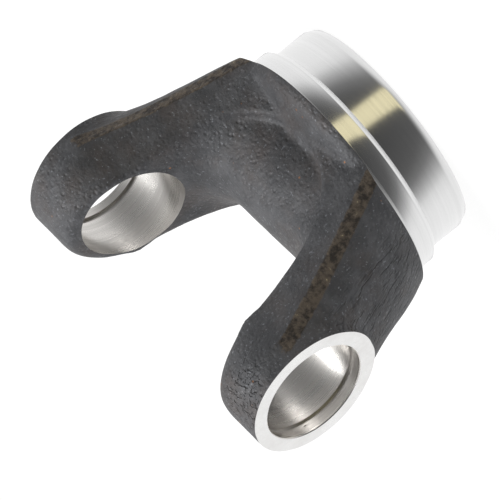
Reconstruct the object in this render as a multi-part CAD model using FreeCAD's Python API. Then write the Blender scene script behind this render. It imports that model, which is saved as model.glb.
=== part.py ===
import FreeCAD, Part

import math
import os

# Forged yoke that welds into the end of a drive-shaft tube and carries one cross of a universal joint.
# Millimetres. +Z runs from the weld end to the ears, X is the axis of the cross bores and Y faces the flanks.
# The origin is the centre of the weld-end face.

# Machined weld end: a pilot that slips into the tube and a ring as wide as the tube
tube_diameter = 63.5
tube_bore = 59.3
pilot_length = 11.4
lead_in_length = 2.2
lead_in_angle = 24.0
ring_length = 5.6
weld_bevel = 1.3
run_out_angle = 26.0

# Machined ears: the cross bores, their outer faces and the snap-ring grooves outside the bearing caps
bore_height = 59.1
bore_diameter = 26.98
bore_chamfer = 0.2
ear_span = 89.8
cap_span = 81.8
groove_diameter = 28.6
groove_width = 1.6

# Forged hub, with a drafted cavity in its weld end
hub_diameter = 65.0
shoulder_height = 19.0
shoulder_bevel = 1.5
shoulder_slope = 15.0
cavity_mouth = 44.0
cavity_depth = 20.0
cavity_draft = 7.0
cavity_bevel = 5.0

# Forged saddle: the die's tongue is a U turned about an axis across the yoke, with a round lower end
saddle_height = 38.8
saddle_crown = 18.6
saddle_corner = 14.0
throat_width = 52.6
inner_face_angle = 11.1
tongue_bottom = 21.5

# Forged ears: a land where the flash was trimmed climbs each of the four corners
boss_diameter = 34.5
boss_length = 12.0
boss_round = 6.0
flare_angle = 23.0
boss_flare_angle = 38.0
root_rise = 5.5
root_drop = 1.8
land_root_x = 21.9
land_root_y = 25.1
land_bore_y = 18.2
land_width = 3.85
land_lean = 21.95
land_tilt = 23.0
waist_root_y = 24.5
waist_bore_y = 11.7
taper_power = 1.8

up = FreeCAD.Vector(0, 0, 1)
across = FreeCAD.Vector(1, 0, 0)
origin = FreeCAD.Vector(0, 0, 0)
ear_root = pilot_length + ring_length
face_x = ear_span / 2
bore_radius = bore_diameter / 2
boss_radius = boss_diameter / 2
hub_radius = hub_diameter / 2
ring_radius = tube_diameter / 2
# How far stock and cutting tools reach past the metal that they meet
inside_step = 6.0
outside_step = 2.0
beyond = 4 * face_x


def point(x, y, z):
    return FreeCAD.Vector(x, y, z)


def slope(angle):
    return math.tan(math.radians(angle))


def line(start, end):
    return Part.makeLine(start, end)


def arc(start, middle, end):
    return Part.Arc(start, middle, end).toShape()


def turned(corners):
    """A solid turned about Z from (radius, height) corners."""
    outline = [point(r, 0, z) for r, z in corners]
    return Part.Face(Part.makePolygon(outline + outline[:1])).revolve(origin, up, 360)


def inner_face_x(z):
    return throat_width / 2 + (z - bore_height) * slope(inner_face_angle)


def taper(root_value, bore_value, z):
    share = (bore_height - z) / (bore_height - ear_root)
    return bore_value + (root_value - bore_value) * share ** taper_power


def land_corners(z):
    """The land's inner and outer edge at a height, on the +X +Y corner."""
    x = land_root_x + (z - ear_root) * slope(land_lean)
    y = taper(land_root_y, land_bore_y, z)
    return point(x, y, z), point(x + land_width, y - land_width * slope(land_tilt), z)


def flank_point(x, z):
    """A point of the hollow flank, an arc that is lowest midway between the ears."""
    waist = taper(waist_root_y, waist_bore_y, z)
    land_in = land_corners(z)[0]
    rise = land_in.y - waist
    radius = (land_in.x ** 2 + rise ** 2) / (2 * rise)
    return point(x, waist + radius - math.sqrt(radius ** 2 - x ** 2), z)


def apex(z):
    """The crest of the ear's outer surface, which swells out of the root and flares up to the faced boss."""
    foot = bore_height - boss_radius
    flare = flare_angle if z < foot else boss_flare_angle
    root_share = max(0.0, ear_root + root_rise - z) / root_rise
    return point(face_x + (z - foot) * slope(flare) - root_drop * root_share ** 2, 0, z)


def quadrants(p):
    return [point(sx * p.x, sy * p.y, p.z) for sx, sy in ((1, 1), (1, -1), (-1, -1), (-1, 1))]


def blank_section(z):
    inner, outer = [quadrants(p) for p in land_corners(z)]
    right = apex(z)
    left = point(-right.x, 0, z)
    front = flank_point(0, z)
    back = point(0, -front.y, z)
    return Part.Wire([
        arc(inner[3], front, inner[0]),
        line(inner[0], outer[0]),
        arc(outer[0], right, outer[1]),
        line(outer[1], inner[1]),
        arc(inner[1], back, inner[2]),
        line(inner[2], outer[2]),
        arc(outer[2], left, outer[3]),
        line(outer[3], inner[3]),
    ])


def forged_blank():
    root_top = ear_root + root_rise
    foot = bore_height - boss_radius
    heights = [ear_root, root_top, (root_top + foot) / 2, foot, bore_height]
    return Part.makeLoft([blank_section(z) for z in heights], True, False)


def rim_start_x():
    """Where the land, falling outwards at bore height, meets the round boss."""
    land_in = land_corners(bore_height)[0]
    return land_in.x + (land_in.y - boss_radius) / slope(land_tilt)


def cap_section(turn):
    """The ear's end cut in a plane through the bore axis, turned from one flank over the tip."""
    land_in = land_corners(bore_height)[0]
    shoulder_x = face_x - boss_length
    quarter = boss_round * math.sqrt(0.5)
    round_x = shoulder_x - boss_round
    round_r = boss_radius - boss_round
    outer_x = face_x + outside_step
    inner_x = inner_face_x(bore_height) - inside_step
    inner = flank_point(inner_x, bore_height)
    flank = flank_point((inner_x + land_in.x) / 2, bore_height)
    side = [(p.x, p.y) for p in (inner, flank, land_in)]
    tip = [(round_x, round_r), (shoulder_x - quarter, round_r + quarter), (shoulder_x, boss_radius)]
    share = math.cos(math.radians(turn)) ** 2
    radial = point(0, math.cos(math.radians(turn)), math.sin(math.radians(turn)))

    def place(x, r):
        return point(x, 0, bore_height) + radial * r

    p = [place(t[0] + (s[0] - t[0]) * share, t[1] + (s[1] - t[1]) * share) for s, t in zip(side, tip)]
    rim = place(rim_start_x(), boss_radius)
    brim = place(outer_x, boss_radius)
    start = place(p[0].x, inside_step)
    end = place(outer_x, inside_step)
    return Part.Wire([
        line(start, p[0]),
        arc(*p),
        line(p[2], rim),
        line(rim, brim),
        line(brim, end),
        line(end, start),
    ])


def forged_cap():
    cap = Part.makeLoft([cap_section(turn) for turn in range(0, 181, 30)], True, False)
    rim_x = rim_start_x()
    rim_length = face_x + outside_step - rim_x
    rim = Part.makeCylinder(boss_radius, rim_length, point(rim_x, 0, bore_height), across, 180)
    rim.rotate(point(0, 0, bore_height), across, 90)
    return cap.fuse(rim)


def die_tongue():
    """What the upper die leaves open: a U turned about an axis across the yoke, kept to the tongue's width."""
    axis = point(0, 0, saddle_height - saddle_crown)
    tilt = math.radians(inner_face_angle)
    corner_z = saddle_height + saddle_corner
    corner_x = inner_face_x(corner_z) - saddle_corner
    wide = point(inner_face_x(beyond), 0, beyond)
    brim = point(2 * wide.x, 0, beyond)

    def ring_point(x, z, radius, angle):
        return point(x + radius * math.cos(angle), 0, z - radius * math.sin(angle))

    def mirrored(points):
        return [point(-p.x, p.y, p.z) for p in points]

    corner = [ring_point(corner_x, corner_z, saddle_corner, a) for a in (math.pi / 2, math.pi / 4, 0)]
    other, other_brim = mirrored(corner), mirrored([brim])[0]
    saddle = Part.Face(Part.Wire([
        line(other[0], corner[0]),
        arc(*corner),
        line(corner[2], brim),
        line(brim, other_brim),
        line(other_brim, other[2]),
        arc(*other[::-1]),
    ]))
    saddle.rotate(axis, across, -90)
    swept = saddle.revolve(axis, across, 180)

    radius = inner_face_x(tongue_bottom) * math.cos(tilt) / (1 - math.sin(tilt))
    touch = ring_point(0, tongue_bottom + radius, radius, tilt)
    other_touch, other_wide = mirrored([touch, wide])
    outline = Part.Face(Part.Wire([
        arc(other_touch, point(0, 0, tongue_bottom), touch),
        line(touch, wide),
        line(wide, other_wide),
        line(other_wide, other_touch),
    ]))
    outline.translate(point(0, -beyond, 0))
    return swept.common(outline.extrude(point(0, 2 * beyond, 0)))


def forged_hub():
    cone_top = shoulder_height + hub_radius * slope(shoulder_slope)
    bevel_top = shoulder_height + shoulder_bevel * slope(shoulder_slope)
    return turned([
        (0, 0),
        (hub_radius, 0),
        (hub_radius, shoulder_height - shoulder_bevel),
        (hub_radius - shoulder_bevel, bevel_top),
        (0, cone_top),
    ])


def die_cavity():
    """The drafted pocket in the weld end, with a bevelled floor."""
    mouth_radius = cavity_mouth / 2
    wall_top = cavity_depth - cavity_bevel
    wall_radius = mouth_radius - wall_top * slope(cavity_draft)
    return turned([
        (0, 0),
        (mouth_radius, 0),
        (wall_radius, wall_top),
        (wall_radius - cavity_bevel, cavity_depth),
        (0, cavity_depth),
    ])


def cross_bore():
    """Both bores with their chamfered mouths and snap-ring grooves, turned about one axis."""
    groove_radius = groove_diameter / 2
    groove_in = cap_span / 2
    groove_out = groove_in + groove_width
    wall = [
        (bore_radius, groove_in),
        (groove_radius, groove_in),
        (groove_radius, groove_out),
        (bore_radius, groove_out),
        (bore_radius, face_x - bore_chamfer),
        (bore_radius + bore_chamfer, face_x),
        (0, face_x),
    ]
    bore = turned([(r, -x) for r, x in wall[::-1]] + wall)
    bore.rotate(origin, point(0, 1, 0), 90)
    bore.translate(point(0, 0, bore_height))
    return bore


cap = forged_cap()
blank = forged_blank().fuse([cap, cap.mirror(origin, across)])
forging = blank.cut(die_tongue()).fuse(forged_hub())

pilot_radius = tube_bore / 2
end_radius = pilot_radius - lead_in_length * slope(lead_in_angle)
envelope = turned([
    (0, 0),
    (end_radius, 0),
    (pilot_radius, lead_in_length),
    (pilot_radius, pilot_length),
    (ring_radius - weld_bevel, pilot_length),
    (ring_radius, pilot_length + weld_bevel),
    (ring_radius, ear_root),
    (beyond, ear_root + (beyond - ring_radius) * slope(run_out_angle)),
    (beyond, 2 * beyond),
    (0, 2 * beyond),
])
faced = Part.makeBox(ear_span, 2 * beyond, 2 * beyond, point(-face_x, -beyond, 0))
yoke = forging.common(envelope).common(faced)

yoke = yoke.cut([die_cavity(), cross_bore()]).removeSplitter().Solids[0]
print("forged_yoke", "valid" if yoke.isValid() else "not valid", round(yoke.Volume), "mm3,", len(yoke.Faces), "faces")
os.makedirs("parts", exist_ok=True)
yoke.exportStep("parts/forged_yoke.step")
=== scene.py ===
import math

import bmesh
import bpy
from mathutils import Matrix, Vector, kdtree, noise


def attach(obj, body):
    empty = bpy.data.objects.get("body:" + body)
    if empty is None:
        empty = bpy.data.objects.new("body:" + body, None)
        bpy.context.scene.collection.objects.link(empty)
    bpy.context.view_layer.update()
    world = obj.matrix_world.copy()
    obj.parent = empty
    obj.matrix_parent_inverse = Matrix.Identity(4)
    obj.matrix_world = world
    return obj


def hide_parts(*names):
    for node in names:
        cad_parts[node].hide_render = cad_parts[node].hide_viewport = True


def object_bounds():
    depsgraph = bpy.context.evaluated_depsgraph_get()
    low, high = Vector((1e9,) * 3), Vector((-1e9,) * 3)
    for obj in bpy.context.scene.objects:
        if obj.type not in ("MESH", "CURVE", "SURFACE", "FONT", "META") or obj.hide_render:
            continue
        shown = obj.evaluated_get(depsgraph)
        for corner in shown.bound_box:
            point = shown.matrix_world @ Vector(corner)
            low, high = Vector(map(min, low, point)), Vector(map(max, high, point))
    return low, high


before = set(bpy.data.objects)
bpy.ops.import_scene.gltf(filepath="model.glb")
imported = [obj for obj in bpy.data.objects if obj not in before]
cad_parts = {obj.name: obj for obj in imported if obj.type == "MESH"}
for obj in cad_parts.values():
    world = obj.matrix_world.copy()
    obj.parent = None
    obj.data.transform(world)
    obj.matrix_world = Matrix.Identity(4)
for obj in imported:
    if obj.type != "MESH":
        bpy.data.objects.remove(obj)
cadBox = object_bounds()
print("frame loaded")

mm = 0.001
up = Vector((0, 0, 1))
across = Vector((1, 0, 0))


def newObject(name, bm):
    mesh = bpy.data.meshes.new(name)
    bm.to_mesh(mesh)
    bm.free()
    return showObject(name, mesh)


def showObject(name, data):
    made = bpy.data.objects.new(name, data)
    bpy.context.scene.collection.objects.link(made)
    return made


# Camera, rolled so that the ears hang to the lower left

camera = {
    "place": (0.5030, 0.7558, 0.2087),
    "right": (0.60335, -0.23448, -0.76223),
    "down": (0.58411, -0.52079, 0.62257),
    "forward": (-0.54294, -0.82085, -0.17726),
    "lens": 279.17,
    "sensor": 36.0,
    "clipStart": 0.01,
}


def makeCamera():
    data = bpy.data.cameras.new("camera")
    data.lens = camera["lens"]
    data.sensor_width = camera["sensor"]
    data.clip_start = camera["clipStart"]
    made = showObject("camera", data)
    right, down, forward = (Vector(camera[key]) for key in ("right", "down", "forward"))
    turn = Matrix((right, -down, -forward)).transposed().to_4x4()
    made.matrix_world = Matrix.Translation(camera["place"]) @ turn
    bpy.context.scene.camera = made


makeCamera()
print("camera placed")


# Node helpers

def setInput(tree, socket, value):
    # A socket gives its value by a link, anything else is set
    if isinstance(value, bpy.types.NodeSocket):
        tree.links.new(value, socket)
    else:
        socket.default_value = value


def addNode(tree, kind, inputs=(), **settings):
    node = tree.nodes.new(kind)
    for key, value in settings.items():
        setattr(node, key, value)
    for key, value in dict(inputs).items():
        setInput(tree, node.inputs[key], value)
    return node


def useGroup(tree, group, inputs):
    return addNode(tree, "ShaderNodeGroup", inputs, node_tree=group).outputs


def doMath(tree, operation, *values, clamp=False):
    return addNode(tree, "ShaderNodeMath", enumerate(values), operation=operation, use_clamp=clamp).outputs[0]


def mixColour(tree, factor, first, second):
    inputs = {0: factor, 6: first, 7: second}  # the colour sockets of a Mix node
    return addNode(tree, "ShaderNodeMix", inputs, data_type="RGBA").outputs[2]


def rampNode(tree, factor, stops):
    node = addNode(tree, "ShaderNodeValToRGB", {"Fac": factor})
    elements = node.color_ramp.elements
    elements[0].position, elements[0].color = stops[0]
    elements[1].position, elements[1].color = stops[-1]
    for place, colour in stops[1:-1]:
        elements.new(place).color = colour
    return node.outputs["Color"]


def spread(tree, value, low, high, newLow=0.0, newHigh=1.0):
    limits = {"Value": value, "From Min": low, "From Max": high, "To Min": newLow, "To Max": newHigh}
    return addNode(tree, "ShaderNodeMapRange", limits, interpolation_type="SMOOTHSTEP").outputs[0]


def noiseNode(tree, place, scale, detail, roughness):
    inputs = {"Vector": place, "Scale": scale, "Detail": detail, "Roughness": roughness}
    return addNode(tree, "ShaderNodeTexNoise", inputs).outputs[0]


def stretched(tree, place, scale):
    return addNode(tree, "ShaderNodeMapping", {"Vector": place, "Scale": scale}).outputs[0]


def splitPlace(tree, place):
    return addNode(tree, "ShaderNodeSeparateXYZ", {0: place}).outputs


def grey(value):
    return (value, value, value, 1.0)


# World: a white tent all round, open and dim on the side where the camera stands, with a slit of warm light

tent = {
    "opening": (0.543, 0.821, 0.177),
    "shades": [(0.00, 1.0), (0.40, 0.92), (0.51, 0.82), (0.62, 0.45), (0.71, 0.20), (0.80, 0.11), (1.00, 0.06)],
    "slit": (0.242, 0.970, 0.0),
    "slitSide": (-0.970, 0.242, 0.0),
    "slitEdge": (0.15, 0.20),
    "slitSpan": (0.4, 0.6),
    "slitColour": (0.90, 0.82, 0.54, 1),
    "even": 0.45,  # share of even light on dull surfaces
    "evenGrey": 0.9,
}


def makeWorld():
    world = bpy.data.worlds.new("tent")
    bpy.context.scene.world = world
    world.use_nodes = True
    tree = world.node_tree
    tree.nodes.clear()
    ray = addNode(tree, "ShaderNodeTexCoord").outputs["Generated"]

    def facing(key):
        inputs = {0: ray, 1: Vector(tent[key]).normalized()}
        return addNode(tree, "ShaderNodeVectorMath", inputs, operation="DOT_PRODUCT").outputs["Value"]

    share = doMath(tree, "MULTIPLY_ADD", facing("opening"), 0.5, 0.5)
    shade = rampNode(tree, share, [(place, grey(value)) for place, value in tent["shades"]])
    narrow = spread(tree, doMath(tree, "ABSOLUTE", facing("slitSide")), *tent["slitEdge"], 1.0, 0.0)
    slit = doMath(tree, "MULTIPLY", narrow, spread(tree, facing("slit"), *tent["slitSpan"]))
    glossy = mixColour(tree, slit, shade, tent["slitColour"])
    soft = mixColour(tree, tent["even"], shade, grey(tent["evenGrey"]))
    path = addNode(tree, "ShaderNodeLightPath").outputs
    seen = mixColour(tree, path["Is Glossy Ray"], soft, glossy)
    seen = mixColour(tree, path["Is Camera Ray"], seen, grey(1.0))
    back = addNode(tree, "ShaderNodeBackground", {"Color": seen, "Strength": 1.0})
    addNode(tree, "ShaderNodeOutputWorld", {"Surface": back.outputs[0]})


# Floor: white to the camera with a faint shadow, pale paper to everything else

paper = {
    "halfSize": 4.0,
    "pale": 0.8,
    "faint": 0.16,
    "glow": 0.88,
}


def makeFloor():
    bm = bmesh.new()
    bmesh.ops.create_grid(bm, x_segments=1, y_segments=1, size=paper["halfSize"])
    floor = newObject("floor", bm)
    floor.visible_glossy = False
    material = bpy.data.materials.new("floorPaper")
    material.use_nodes = True
    tree = material.node_tree
    tree.nodes.clear()
    pale = addNode(tree, "ShaderNodeBsdfDiffuse", {"Color": grey(paper["pale"])}).outputs[0]
    faint = addNode(tree, "ShaderNodeBsdfDiffuse", {"Color": grey(paper["faint"])}).outputs[0]
    glow = addNode(tree, "ShaderNodeEmission", {"Color": grey(paper["glow"])}).outputs[0]
    shown = addNode(tree, "ShaderNodeAddShader", {0: faint, 1: glow}).outputs[0]
    path = addNode(tree, "ShaderNodeLightPath").outputs
    mixed = addNode(tree, "ShaderNodeMixShader", {0: path["Is Camera Ray"], 1: pale, 2: shown})
    addNode(tree, "ShaderNodeOutputMaterial", {"Surface": mixed.outputs[0]})
    floor.data.materials.append(material)


# Two soft lamps, one over the ears and one beside the +X ear

lamps = {
    "over": {"place": (-0.15, 0.10, 1.20), "watts": 15.0, "size": 0.9},
    "beside": {"place": (1.05, -0.35, 0.55), "watts": 5.0, "size": 0.8},
}
lampGloss = 0.5


def makeLamps():
    for name, lamp in lamps.items():
        data = bpy.data.lights.new(name, "AREA")
        data.shape = "DISK"
        data.size = lamp["size"]
        data.energy = lamp["watts"]
        data.specular_factor = lampGloss
        place = Vector(lamp["place"])
        turn = place.to_track_quat("Z", "Y").to_matrix().to_4x4()
        showObject(name, data).matrix_world = Matrix.Translation(place) @ turn


makeWorld()
makeFloor()
makeLamps()
bpy.context.scene.view_settings.view_transform = "Standard"
print("studio built")


# Shared effects

def startGroup(name, inputs, outputs):
    # An input whose value is None is a vector
    tree = bpy.data.node_groups.new(name, "ShaderNodeTree")
    for socketName, value in inputs.items():
        kind = "NodeSocketVector" if value is None else "NodeSocketFloat"
        socket = tree.interface.new_socket(socketName, in_out="INPUT", socket_type=kind)
        if value is not None:
            socket.default_value = value
    for socketName in outputs:
        tree.interface.new_socket(socketName, in_out="OUTPUT", socket_type="NodeSocketFloat")
    return tree, tree.nodes.new("NodeGroupInput").outputs


def endGroup(tree, results):
    end = tree.nodes.new("NodeGroupOutput")
    for name, value in results.items():
        tree.links.new(value, end.inputs[name])
    return tree


def makeScaleGrain():
    # Fine grain of forging scale: height, patches, and specks of painted sparkle (bright colour standing in for
    # glints)
    names = ["Height", "Patch", "Speck"]
    tree, start = startGroup("scaleGrain", {"Vector": None, "Scale": 900.0}, names)
    place, size = start["Vector"], start["Scale"]
    fine = noiseNode(tree, place, size, 4.0, 0.65)
    broad = noiseNode(tree, place, doMath(tree, "MULTIPLY", size, 0.16), 5.0, 0.7)
    specks = noiseNode(tree, place, doMath(tree, "MULTIPLY", size, 1.5), 2.0, 0.6)
    pits = addNode(tree, "ShaderNodeTexVoronoi", {"Vector": place, "Scale": doMath(tree, "MULTIPLY", size, 0.7)})
    dent = spread(tree, pits.outputs["Distance"], 0.0, 0.5)
    return endGroup(tree, {
        "Height": doMath(tree, "MULTIPLY_ADD", dent, 0.45, fine),
        "Patch": spread(tree, broad, 0.36, 0.66),
        "Speck": spread(tree, specks, 0.60, 0.78),
    })


def makeCutMarks():
    # Marks of a cutting tool, long in two directions and fine in the third: height and shade
    tree, start = startGroup("cutMarks", {"Vector": None, "Scale": 1.0}, ["Height", "Shade"])
    place, size = start["Vector"], start["Scale"]
    fine = noiseNode(tree, place, size, 3.0, 0.7)
    wide = noiseNode(tree, place, doMath(tree, "MULTIPLY", size, 0.12), 3.0, 0.7)
    shade = doMath(tree, "MULTIPLY_ADD", wide, 0.6, doMath(tree, "MULTIPLY", fine, 0.4))
    return endGroup(tree, {"Height": fine, "Shade": spread(tree, shade, 0.3, 0.7)})


def makeRustPits():
    # Few small ragged pits and nicks
    tree, start = startGroup("rustPits", {"Vector": None, "Scale": 300.0, "Few": 0.85}, ["Pit"])
    place, size = start["Vector"], start["Scale"]
    cells = addNode(tree, "ShaderNodeTexVoronoi", {"Vector": place, "Scale": size}).outputs
    raggedSize = doMath(tree, "MULTIPLY", size, 6.0)
    ragged = addNode(tree, "ShaderNodeTexNoise", {"Vector": place, "Scale": raggedSize}).outputs[0]
    spot = spread(tree, doMath(tree, "MULTIPLY_ADD", ragged, 0.16, cells["Distance"]), 0.15, 0.24, 1.0, 0.0)
    pick = doMath(tree, "GREATER_THAN", splitPlace(tree, cells["Color"])[0], start["Few"])
    return endGroup(tree, {"Pit": doMath(tree, "MULTIPLY", spot, pick)})


scaleGrain = makeScaleGrain()
cutMarks = makeCutMarks()
rustPits = makeRustPits()


def startMaterial(name):
    material = bpy.data.materials.new(name)
    material.use_nodes = True
    tree = material.node_tree
    tree.nodes.clear()
    shader = addNode(tree, "ShaderNodeBsdfPrincipled")
    addNode(tree, "ShaderNodeOutputMaterial", {"Surface": shader.outputs[0]})
    place = addNode(tree, "ShaderNodeTexCoord").outputs["Object"]
    return material, tree, shader.inputs, place


def addBump(tree, shader, height, strength, depth):
    bump = addNode(tree, "ShaderNodeBump", {"Strength": strength, "Distance": depth, "Height": height})
    tree.links.new(bump.outputs[0], shader["Normal"])


# Forged skin: grey scale with a brown bloom, rusty specks, torn flash strips and score marks

scale = {
    "dark": (0.046, 0.047, 0.051, 1), "light": (0.074, 0.075, 0.080, 1), "grain": 950.0,
    "brown": (0.066, 0.052, 0.046, 1), "bloom": 70.0, "mostBrown": 0.6,
    "paintedSparkle": (0.20, 0.21, 0.23, 1), "mostPaintedSparkle": 0.8,
    "rust": (0.30, 0.13, 0.05, 1), "rustScale": 420.0, "rustFew": 0.955, "mostRust": 0.8,
    "tornDark": (0.026, 0.021, 0.018, 1), "tornLight": (0.092, 0.073, 0.055, 1),
    "paintedGlint": (0.34, 0.29, 0.18, 1), "tornScale": 520.0, "tornDepth": 2.2,
    "metallic": 0.4, "roughness": (0.36, 0.60),
    "scoreStretch": (500.0, 620.0, 40.0), "scoreStart": (0.031, 0.036), "scoreWidth": (0.012, 0.018),
    "scoreDepth": -1.6,
    "bump": 1.0, "bumpDepth": 0.00030,
}


def makeForgedSkin():
    material, tree, shader, place = startMaterial("forgedSkin")
    grain = useGroup(tree, scaleGrain, {"Vector": place, "Scale": scale["grain"]})
    rust = useGroup(tree, rustPits, {"Vector": place, "Scale": scale["rustScale"], "Few": scale["rustFew"]})
    bloom = spread(tree, noiseNode(tree, place, scale["bloom"], 5.0, 0.7), 0.42, 0.74, 0.0, scale["mostBrown"])
    colour = mixColour(tree, grain["Patch"], scale["dark"], scale["light"])
    colour = mixColour(tree, bloom, colour, scale["brown"])
    # Painted sparkle: light grey specks in the base colour stand in for glints of light off the scale
    colour = mixColour(tree, doMath(tree, "MULTIPLY", grain["Speck"], scale["mostPaintedSparkle"]), colour, scale["paintedSparkle"])
    colour = mixColour(tree, doMath(tree, "MULTIPLY", rust["Pit"], scale["mostRust"]), colour, scale["rust"])

    # Strips where the flash was torn off, with a ragged edge
    land = addNode(tree, "ShaderNodeAttribute", attribute_name="land").outputs["Fac"]
    torn = noiseNode(tree, place, scale["tornScale"], 4.0, 0.7)
    tornColour = mixColour(tree, spread(tree, torn, 0.38, 0.60), scale["tornDark"], scale["tornLight"])
    # Painted glints: bright yellow flecks in the base colour of the torn strips stand in for glints of light
    tornColour = mixColour(tree, spread(tree, torn, 0.65, 0.74), tornColour, scale["paintedGlint"])
    edge = doMath(tree, "MULTIPLY_ADD", torn, 1.3, doMath(tree, "ADD", land, -1.05), clamp=True)
    colour = mixColour(tree, spread(tree, edge, 0.0, 0.35), colour, tornColour)
    tree.links.new(colour, shader["Base Color"])
    tree.links.new(spread(tree, grain["Height"], 0.35, 0.95, *scale["roughness"]), shader["Roughness"])
    shader["Metallic"].default_value = scale["metallic"]

    # Score marks down the outer face of the +X ear
    parts = splitPlace(tree, place)
    outer = spread(tree, parts[0], *scale["scoreStart"])
    near = spread(tree, doMath(tree, "ABSOLUTE", parts[1]), *scale["scoreWidth"], 1.0, 0.0)
    score = spread(tree, noiseNode(tree, stretched(tree, place, scale["scoreStretch"]), 1.0, 2.0, 0.6), 0.50, 0.62)
    scored = doMath(tree, "MULTIPLY", doMath(tree, "MULTIPLY", outer, near), score)
    height = doMath(tree, "MULTIPLY_ADD", scored, scale["scoreDepth"], grain["Height"])
    height = doMath(tree, "MULTIPLY_ADD", doMath(tree, "MULTIPLY", land, torn), scale["tornDepth"], height)
    addBump(tree, shader, height, scale["bump"], scale["bumpDepth"])
    return material


# Cut steel: bright between fine tool marks, which run round the axis that the tool turned about

cutSteel = {
    "turnedSteel": {
        "bright": (0.86, 0.86, 0.86, 1), "dull": (0.79, 0.79, 0.79, 1),
        "stretch": (25.0, 25.0, 5200.0), "roughness": (0.13, 0.18), "few": 0.985,
    },
    "facedSteel": {
        "bright": (0.92, 0.92, 0.91, 1), "dull": (0.82, 0.81, 0.80, 1),
        "stretch": (300.0, 900.0, 900.0), "roughness": (0.26, 0.34), "few": 0.99,
    },
    "boredSteel": {
        "bright": (0.76, 0.74, 0.71, 1), "dull": (0.60, 0.58, 0.56, 1),
        "stretch": (4200.0, 25.0, 25.0), "roughness": (0.24, 0.34), "few": 0.965,
    },
}
pitting = {
    "scale": 330.0,
    "colour": (0.10, 0.065, 0.045, 1),
    "rougher": 0.4,
    "depth": -3.0,
    "bump": 0.07,
    "bumpDepth": 0.00004,
}


def makeCutSteel(name):
    cut = cutSteel[name]
    material, tree, shader, place = startMaterial(name)
    marks = useGroup(tree, cutMarks, {"Vector": stretched(tree, place, cut["stretch"]), "Scale": 1.0})
    pit = useGroup(tree, rustPits, {"Vector": place, "Scale": pitting["scale"], "Few": cut["few"]})["Pit"]
    shade = mixColour(tree, marks["Shade"], cut["dull"], cut["bright"])
    tree.links.new(mixColour(tree, pit, shade, pitting["colour"]), shader["Base Color"])
    smooth, rough = cut["roughness"]
    blurred = spread(tree, marks["Shade"], 0.0, 1.0, rough, smooth)
    tree.links.new(doMath(tree, "MULTIPLY_ADD", pit, pitting["rougher"], blurred), shader["Roughness"])
    shader["Metallic"].default_value = 1.0
    height = doMath(tree, "MULTIPLY_ADD", pit, pitting["depth"], marks["Height"])
    addBump(tree, shader, height, pitting["bump"], pitting["bumpDepth"])
    return material


finishes = [makeForgedSkin()] + [makeCutSteel(name) for name in cutSteel]
skin, turned, faced, bored = range(len(finishes))
print("materials made")


# Mesh helpers

def newPiece(name, bm):
    made = newObject(name, bm)
    for finish in finishes:
        made.data.materials.append(finish)
    return made


def settle(piece):
    # Modifiers become the mesh
    graph = bpy.context.evaluated_depsgraph_get()
    old = piece.data
    piece.data = bpy.data.meshes.new_from_object(piece.evaluated_get(graph), depsgraph=graph)
    piece.modifiers.clear()
    bpy.data.meshes.remove(old)


def spinProfile(bm, profile, steps, place=Matrix.Identity(4)):
    # Profile of (radius, height) turned about Z, then placed
    verts = [bm.verts.new((radius * mm, 0, height * mm)) for radius, height in profile]
    edges = [bm.edges.new(pair) for pair in zip(verts, verts[1:])]
    bmesh.ops.spin(
        bm, geom=verts + edges, cent=(0, 0, 0), axis=up, angle=2 * math.pi, steps=steps, use_merge=True)
    made = bm.verts[:]
    bmesh.ops.transform(bm, matrix=place, verts=made)
    bmesh.ops.remove_doubles(bm, verts=made, dist=1e-7)
    bmesh.ops.recalc_face_normals(bm, faces=bm.faces[:])


def spunTool(name, profile, steps, finish, place=Matrix.Identity(4)):
    bm = bmesh.new()
    spinProfile(bm, profile, steps, place)
    for face in bm.faces:
        face.material_index = finish
        face.smooth = True
    return newPiece(name, bm)


def cutWith(piece, tool, operation):
    cut = piece.modifiers.new("cut", "BOOLEAN")
    cut.object = tool
    cut.operation = operation
    cut.solver = "MANIFOLD"
    settle(piece)
    bpy.data.objects.remove(tool)


def smoothPiece(piece, passes, group=""):
    soft = piece.modifiers.new("soft", "SMOOTH")
    soft.factor = 0.5
    soft.iterations = passes
    soft.vertex_group = group


def onlyKind(kind, items):
    return [item for item in items if isinstance(item, kind)]


def clamped(value):
    return max(0.0, min(1.0, value))


# The forging, in millimetres: stock a little larger than the part, its die corners rounded, then machined

forging = {
    "voxel": 0.56,
    "weld": 2e-6,  # metres, for the loose triangles of the CAD mesh
    "rootCut": 20.5, "rootFoot": 13.0, "rootScale": (0.87, 1.06, 1.0),
    "hub": [(0, -3), (32.5, -3), (32.5, 17.5), (31.0, 19.4), (0, 27.7)], "hubSteps": 160,
    "faceStock": 2.5, "facePlane": 44.8,
    "plugRadius": 15.2, "plugSteps": 96, "plugInside": 6.0, "plugEnd": 46.5,
    "boreHeight": 59.1,
    "innerFace": 26.3, "innerLean": 11.1,
    "softPasses": 9, "cornerPasses": 70,
    "cornerAngle": 0.35, "cornerStep": 0.6, "cornerReach": 6.0, "cornerFade": 4.0,
    "archShare": 0.10, "archTop": 36.0, "archFade": 8.0,
    "swell": [(9.0, 0.10), (3.6, 0.05)],
}
flash = {
    "startX": 21.9, "startZ": 17.0, "lean": 0.403, "width": 3.85,
    "edge": 0.4,
    "sideY": 13.0, "sideFade": 2.0,
    "topFade": 4.0,
    "tornLength": 1.3, "tornDepth": 0.16,
    "keepX": 1.2, "keepY": 15.5,  # corners this near the strips aren't rounded
}


def innerFaceX(height):
    return forging["innerFace"] + (height - forging["boreHeight"]) * math.tan(math.radians(forging["innerLean"]))


def flashInnerX(height):
    return flash["startX"] + (height - flash["startZ"]) * flash["lean"]


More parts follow.
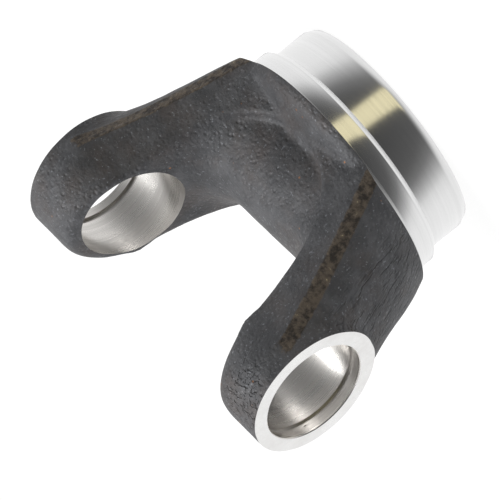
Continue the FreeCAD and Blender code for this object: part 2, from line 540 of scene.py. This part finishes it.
def flashShare(place):
    # How far a point lies on the strips where the flash was trimmed
    over = abs(place.x) - flashInnerX(min(place.z, forging["boreHeight"]))
    inside = min(over + flash["edge"], flash["width"] + flash["edge"] - over) / (2 * flash["edge"])
    top = (forging["boreHeight"] + flash["topFade"] - place.z) / flash["topFade"]
    side = (abs(place.y) - flash["sideY"]) / flash["sideFade"]
    return clamped(top) * clamped(inside) * clamped(side)


def isDieCorner(edge, middle):
    if len(edge.link_faces) != 2 or edge.calc_face_angle() < forging["cornerAngle"]:
        return False
    onFlash = abs(middle.x) > flashInnerX(middle.z) - flash["keepX"] and abs(middle.y) > flash["keepY"]
    inBore = Vector((middle.y, middle.z - forging["boreHeight"])).length < forging["plugRadius"] - 0.2
    onFace = abs(middle.x) > forging["facePlane"] - 0.1
    return not (onFlash or inBore or onFace or middle.z < forging["rootCut"])


def findCorners(bm):
    points = []
    for edge in bm.edges:
        start, end = (vert.co / mm for vert in edge.verts)
        if isDieCorner(edge, (start + end) / 2):
            count = max(1, int((end - start).length / forging["cornerStep"]))
            points += [start.lerp(end, (step + 0.5) / count) for step in range(count)]
    tree = kdtree.KDTree(len(points))
    for index, place in enumerate(points):
        tree.insert(place, index)
    tree.balance()
    print("die corners:", len(points), "points")
    return tree


def addFaceStock(bm, side):
    # Metal that the facing will take off
    flat = [
        face for face in bm.faces
        if face.normal.x * side > 0.99 and abs(face.calc_center_median().x / mm) > forging["facePlane"]
    ]
    verts = onlyKind(bmesh.types.BMVert, bmesh.ops.extrude_face_region(bm, geom=flat)["geom"])
    bmesh.ops.translate(bm, vec=across * side * forging["faceStock"] * mm, verts=verts)
    bmesh.ops.delete(bm, geom=flat, context="FACES")


def addRoot(bm):
    # The ears' root goes on down inside the hub, in place of the machined end
    cut = bmesh.ops.bisect_plane(
        bm, geom=bm.verts[:] + bm.edges[:] + bm.faces[:], plane_co=up * forging["rootCut"] * mm, plane_no=up,
        clear_inner=True)
    rim = onlyKind(bmesh.types.BMEdge, cut["geom_cut"])
    foot = onlyKind(bmesh.types.BMVert, bmesh.ops.extrude_edge_only(bm, edges=rim)["geom"])
    bmesh.ops.scale(bm, vec=forging["rootScale"], verts=foot)
    bmesh.ops.translate(bm, vec=up * (forging["rootFoot"] - forging["rootCut"]) * mm, verts=foot)
    bmesh.ops.holes_fill(bm, edges=[edge for edge in bm.edges if edge.is_boundary], sides=0)


def addPlug(bm, side):
    # A plug in the bore, flush with the ear's inner face
    start = innerFaceX(forging["boreHeight"])
    length = forging["plugEnd"] - start + forging["plugInside"]
    middle = side * (start - forging["plugInside"] + length / 2) * mm
    place = Matrix.Translation((middle, 0, forging["boreHeight"] * mm)) @ Matrix.Rotation(math.pi / 2, 4, "Y")
    radius = forging["plugRadius"] * mm
    plug = bmesh.ops.create_cone(
        bm, cap_ends=True, segments=forging["plugSteps"], radius1=radius, radius2=radius, depth=length * mm,
        matrix=place)["verts"]
    edges = {edge for vert in plug for edge in vert.link_edges}
    faces = {face for vert in plug for face in vert.link_faces}
    lean = math.radians(forging["innerLean"])
    cut = bmesh.ops.bisect_plane(
        bm, geom=plug + list(edges) + list(faces),
        plane_co=(side * start * mm, 0, forging["boreHeight"] * mm),
        plane_no=(side * math.cos(lean), 0, -math.sin(lean)), clear_inner=True)
    bmesh.ops.contextual_create(bm, geom=onlyKind(bmesh.types.BMEdge, cut["geom_cut"]))


def addHub(bm):
    hub = bmesh.new()
    spinProfile(hub, forging["hub"], forging["hubSteps"])
    spare = bpy.data.meshes.new("hub")
    hub.to_mesh(spare)
    hub.free()
    bm.from_mesh(spare)
    bpy.data.meshes.remove(spare)


def makeStock():
    bm = bmesh.new()
    bm.from_mesh(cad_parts["forged_yoke"].data)
    bmesh.ops.remove_doubles(bm, verts=bm.verts[:], dist=forging["weld"])
    corners = findCorners(bm)
    for side in (1, -1):
        addFaceStock(bm, side)
    addRoot(bm)
    for side in (1, -1):
        addPlug(bm, side)
    addHub(bm)
    return newPiece("forging", bm), corners


def cornerShare(place, corners):
    # The arch over the hub stays crisper than the corners of the ears
    away = corners.find(place)[2]
    ear = clamped((place.z - forging["archTop"]) / forging["archFade"])
    most = forging["archShare"] + (1 - forging["archShare"]) * ear
    return most * clamped((forging["cornerReach"] - away) / forging["cornerFade"])


def skinMove(place):
    # How far the uneven skin stands out, with torn metal on the flash strips
    move = 0.0
    for length, depth in forging["swell"]:
        move += noise.noise(place / length + across * length) * depth
    rough = flashShare(place)
    if rough > 0:
        move += rough * flash["tornDepth"] * noise.noise(place / flash["tornLength"])
    return move


def makeForging():
    piece, corners = makeStock()
    voxels = piece.modifiers.new("voxels", "REMESH")
    voxels.mode = "VOXEL"
    voxels.voxel_size = forging["voxel"] * mm
    settle(piece)
    print("stock:", len(piece.data.vertices), "points")
    group = piece.vertex_groups.new(name="corners")
    for vert in piece.data.vertices:
        share = cornerShare(vert.co / mm, corners)
        if share > 0:
            group.add([vert.index], share, "REPLACE")
    smoothPiece(piece, forging["softPasses"])
    smoothPiece(piece, forging["cornerPasses"], "corners")
    settle(piece)
    piece.vertex_groups.clear()
    verts = piece.data.vertices
    normals = [vert.normal.copy() for vert in verts]
    moves = [skinMove(vert.co / mm) for vert in verts]
    for vert, normal, move in zip(verts, normals, moves):
        vert.co += normal * move * mm
        vert.co.z = min(vert.co.z, cadBox[1].z)
    return piece


machining = {
    "earSpan": 89.8, "boxSide": 300.0,
    "pilot": [
        (0, 0), (28.55, 0), (28.70, 0.1), (29.65, 2.2), (29.65, 11.4), (30.45, 11.4), (31.65, 12.6), (31.75, 12.75),
        (31.75, 17.0), (60, 30.78), (60, 100), (0, 100),
    ],
    "pilotSteps": 240,
    "bore": [
        (0, -44.9), (13.69, -44.9), (13.49, -44.7), (13.49, -42.5), (14.3, -42.5), (14.3, -40.9), (13.49, -40.9),
        (13.49, 40.9), (14.3, 40.9), (14.3, 42.5), (13.49, 42.5), (13.49, 44.7), (13.69, 44.9), (0, 44.9),
    ],
    "boreSteps": 180,
    "pocket": [(0, -1), (22.12, -1), (20.2, 14.5), (19.5, 17.2), (17.8, 19.2), (15.2, 20.0), (0, 20.0)],
    "pocketSteps": 160,
}


def machineForging(piece):
    box = bmesh.new()
    side = machining["boxSide"] * mm
    bmesh.ops.create_cube(box, size=1.0, matrix=Matrix.Diagonal((machining["earSpan"] * mm, side, side, 1)))
    for face in box.faces:
        face.material_index = faced
    cutWith(piece, newPiece("facing", box), "INTERSECT")
    cutWith(piece, spunTool("turning", machining["pilot"], machining["pilotSteps"], turned), "INTERSECT")
    place = Matrix.Translation((0, 0, forging["boreHeight"] * mm)) @ Matrix.Rotation(math.pi / 2, 4, "Y")
    cutWith(piece, spunTool("boring", machining["bore"], machining["boreSteps"], bored, place), "DIFFERENCE")
    cutWith(piece, spunTool("pocket", machining["pocket"], machining["pocketSteps"], skin), "DIFFERENCE")


sharpAngle = 0.6


def finishForging(piece):
    # Crisp edges where two finishes meet, and the mask for the flash strips
    mesh = piece.data
    bm = bmesh.new()
    bm.from_mesh(mesh)
    bmesh.ops.remove_doubles(bm, verts=bm.verts[:], dist=2e-7)
    for face in bm.faces:
        face.smooth = True
    for edge in bm.edges:
        pair = edge.link_faces
        if len(pair) == 2:
            mixed = pair[0].material_index != pair[1].material_index
            edge.smooth = not (mixed or edge.calc_face_angle() > sharpAngle)
    bm.to_mesh(mesh)
    bm.free()
    land = mesh.attributes.new("land", "FLOAT", "POINT")
    land.data.foreach_set("value", [flashShare(vert.co / mm) for vert in mesh.vertices])
    triangles = sum(len(face.vertices) - 2 for face in mesh.polygons)
    print("forging:", len(mesh.vertices), "points,", triangles, "triangles")


yoke = makeForging()
print("forging smoothed")
machineForging(yoke)
print("forging machined")
finishForging(yoke)
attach(yoke, "root")
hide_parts("forged_yoke")
